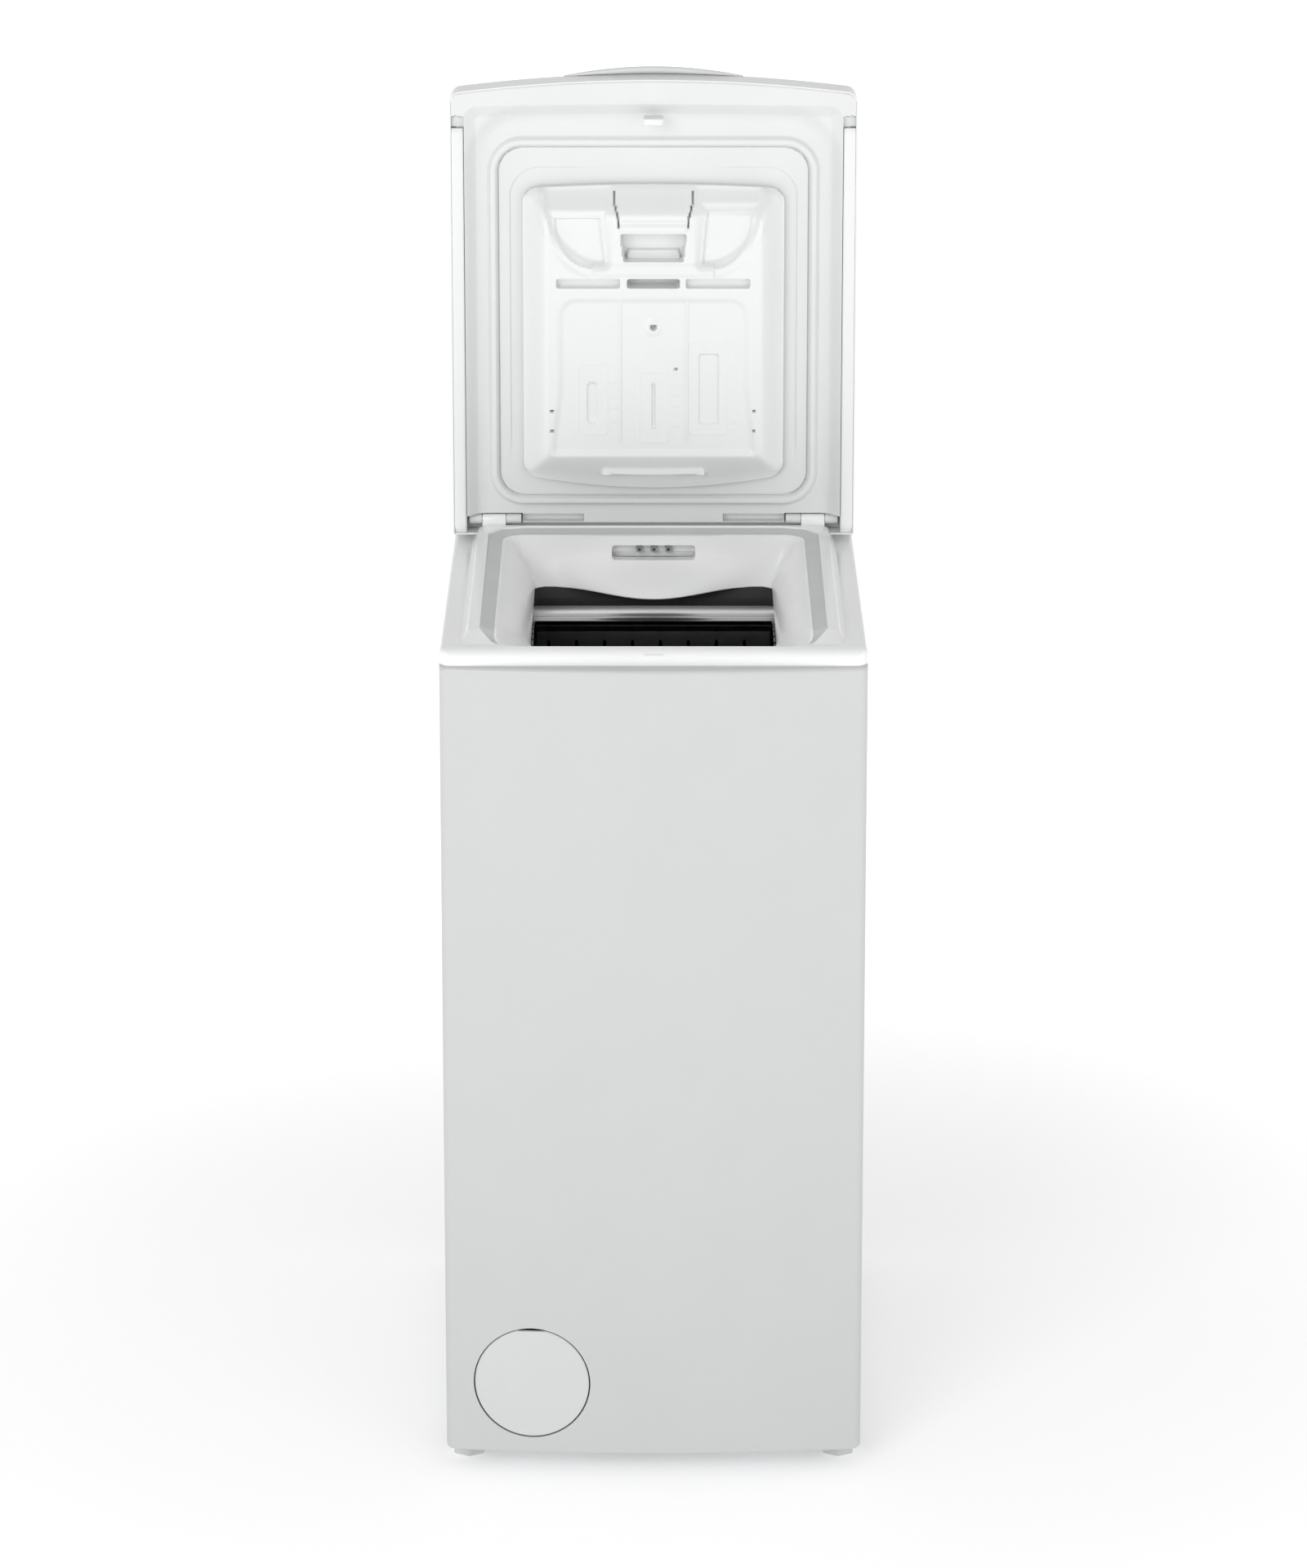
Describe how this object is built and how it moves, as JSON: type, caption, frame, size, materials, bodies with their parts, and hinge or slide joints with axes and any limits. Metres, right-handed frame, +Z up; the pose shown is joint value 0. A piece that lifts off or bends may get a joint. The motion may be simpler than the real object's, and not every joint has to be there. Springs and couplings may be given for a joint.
{
  "type": "top loading washing machine",
  "caption": "Narrow top loading washing machine with a cross-axis drum, a lifting lid that carries the detergent dispenser, and a round pump filter cover.",
  "frame": {"origin": "on the floor below the middle of the machine, between the bowed front and the hose spigots at the back", "axes": "+Z up, the bowed front faces -Y, +X to the right as seen from the front; the lid is stored open"},
  "size_m": [0.4, 0.6, 1.293],
  "materials": {
    "white_paint": "satin powder coat",
    "white_gloss": "gloss",
    "white_satin": "fine satin",
    "grey_rubber": "matte",
    "black_rubber": "matte",
    "stainless": "brushed",
    "galvanised": "zinc",
    "tub_plastic": "fine texture",
    "grey_plastic": "fine texture",
    "black_plastic": "fine texture",
    "bearing_steel": "ground",
    "cast_aluminium": "cast",
    "concrete": "rough",
    "dark_glass": "polished",
    "motor_metal": "laminated and painted"
  },
  "bodies": {
    "cabinet": {"base_frame": "galvanised", "cabinet_screws": "bearing_steel", "control_panel": "white_satin", "damper_rods": "bearing_steel", "display_window": "dark_glass", "drain_pump": "grey_plastic", "drain_spigot": "grey_plastic", "foot_nuts": "bearing_steel", "front_panel": "white_paint", "hinge_pins": "bearing_steel", "inlet_valve": "white_satin", "left_side_panel": "white_paint", "lid_lock": "black_plastic", "lid_seal": "grey_rubber", "mains_gland": "black_plastic", "rear_panel": "galvanised", "right_side_panel": "white_paint", "service_cover": "grey_plastic", "sump_hose": "black_rubber", "top_frame": "white_gloss", "tub_bellows": "grey_rubber", "tub_collar": "white_gloss", "tub_springs": "bearing_steel", "water_nozzles": "grey_plastic"},
    "foot_front_left": {"foot_front_left": "black_plastic"},
    "foot_front_right": {"foot_front_right": "black_plastic"},
    "foot_rear_left": {"foot_rear_left": "black_plastic"},
    "foot_rear_right": {"foot_rear_right": "black_plastic"},
    "filter_cover": {"filter_cover": "white_satin"},
    "pump_filter": {"pump_filter": "grey_plastic"},
    "program_knob": {"program_knob": "white_gloss"},
    "start_button": {"start_button": "white_gloss"},
    "spin_button": {"spin_button": "white_gloss"},
    "temperature_button": {"temperature_button": "white_gloss"},
    "lid": {"lid_outer": "white_gloss", "lid_inner": "white_satin", "lid_side_strips": "white_satin", "lid_handle": "white_gloss", "lid_latch_hook": "white_satin"},
    "dispenser": {"dispenser_tray": "white_satin", "dispenser_cover": "white_satin"},
    "dispenser_lever": {"dispenser_lever": "white_satin"},
    "tub": {"tub_shell": "stainless", "tub_left_end": "tub_plastic", "tub_right_end": "tub_plastic", "tub_bearings": "bearing_steel", "counterweights": "concrete", "motor": "motor_metal", "drive_belt": "black_rubber", "heating_element": "bearing_steel", "damper_cylinders": "black_plastic"},
    "drum": {"drum_shell": "stainless", "drum_ends": "stainless", "drum_lifters": "grey_plastic", "drum_pulley": "cast_aluminium"},
    "motor_rotor": {"motor_pulley": "bearing_steel"},
    "drum_flap_front": {"drum_flap_front": "stainless", "flap_latch": "grey_plastic"},
    "drum_flap_rear": {"drum_flap_rear": "stainless"}
  },
  "joints": [
    {"name": "lid_hinge", "type": "hinge", "parent": "cabinet", "child": "lid", "pos_m": [0, 0.15, 0.841], "axis": [1, 0, 0], "range_deg": [0, 90]},
    {"name": "dispenser_tilt", "type": "hinge", "parent": "lid", "child": "dispenser", "pos_m": [0, 0.142, 0.892], "axis": [-1, 0, 0], "range_deg": [-30, 0]},
    {"name": "dispenser_lever_press", "type": "hinge", "parent": "dispenser", "child": "dispenser_lever", "pos_m": [0, 0.1095, 1.145], "axis": [-1, 0, 0], "range_deg": [0, 7], "stiffness_Nm_per_rad": 0.3, "springref_deg": -8.59},
    {"name": "tub_suspension", "type": "slide", "parent": "cabinet", "child": "tub", "axis": [0, 0, 1], "range_m": [-0.008, 0.008], "stiffness_N_per_m": 15000, "springref_m": 0.03, "deforming": ["tub_springs", "tub_bellows", "sump_hose"]},
    {"name": "drum_spin", "type": "hinge", "parent": "tub", "child": "drum", "pos_m": [0, 0, 0.528], "axis": [1, 0, 0], "continuous": true},
    {"name": "motor_spin", "type": "hinge", "parent": "tub", "child": "motor_rotor", "pos_m": [0, 0.09, 0.165], "axis": [1, 0, 0], "continuous": true},
    {"name": "drum_flap_front_hinge", "type": "hinge", "parent": "drum", "child": "drum_flap_front", "pos_m": [0, -0.09667, 0.7411], "axis": [1, 0, 0], "range_deg": [0, 110], "stiffness_Nm_per_rad": 0.05, "springref_deg": -114.59},
    {"name": "drum_flap_rear_hinge", "type": "hinge", "parent": "drum", "child": "drum_flap_rear", "pos_m": [0, 0.09667, 0.7411], "axis": [-1, 0, 0], "range_deg": [0, 110], "stiffness_Nm_per_rad": 0.05, "springref_deg": -114.59},
    {"name": "filter_cover_pull", "type": "slide", "parent": "cabinet", "child": "filter_cover", "axis": [0, -1, 0], "range_m": [0, 0.06]},
    {"name": "pump_filter_turn", "type": "hinge", "parent": "cabinet", "child": "pump_filter", "pos_m": [-0.117, -0.28, 0.093], "axis": [0, -1, 0], "range_deg": [0, 90]},
    {"name": "program_dial", "type": "hinge", "parent": "cabinet", "child": "program_knob", "pos_m": [0, 0.20925, 0.884], "axis": [0, -0.4616, 0.8871], "continuous": true},
    {"name": "start_button_press", "type": "slide", "parent": "cabinet", "child": "start_button", "axis": [0, 0.4616, -0.8871], "range_m": [0, 0.0015], "stiffness_N_per_m": 400, "springref_m": -0.002},
    {"name": "spin_button_press", "type": "slide", "parent": "cabinet", "child": "spin_button", "axis": [0, 0.4616, -0.8871], "range_m": [0, 0.0015], "stiffness_N_per_m": 400, "springref_m": -0.002},
    {"name": "temperature_button_press", "type": "slide", "parent": "cabinet", "child": "temperature_button", "axis": [0, 0.4616, -0.8871], "range_m": [0, 0.0015], "stiffness_N_per_m": 400, "springref_m": -0.002},
    {"name": "foot_front_left_height", "type": "slide", "parent": "cabinet", "child": "foot_front_left", "axis": [0, 0, -1], "range_m": [0, 0.012]},
    {"name": "foot_front_right_height", "type": "slide", "parent": "cabinet", "child": "foot_front_right", "axis": [0, 0, -1], "range_m": [0, 0.012]},
    {"name": "foot_rear_left_height", "type": "slide", "parent": "cabinet", "child": "foot_rear_left", "axis": [0, 0, -1], "range_m": [0, 0.012]},
    {"name": "foot_rear_right_height", "type": "slide", "parent": "cabinet", "child": "foot_rear_right", "axis": [0, 0, -1], "range_m": [0, 0.012]}
  ],
  "couplings": [
    {"joint": "motor_spin", "follows": "drum_spin", "ratio": 13.8}
  ]
}
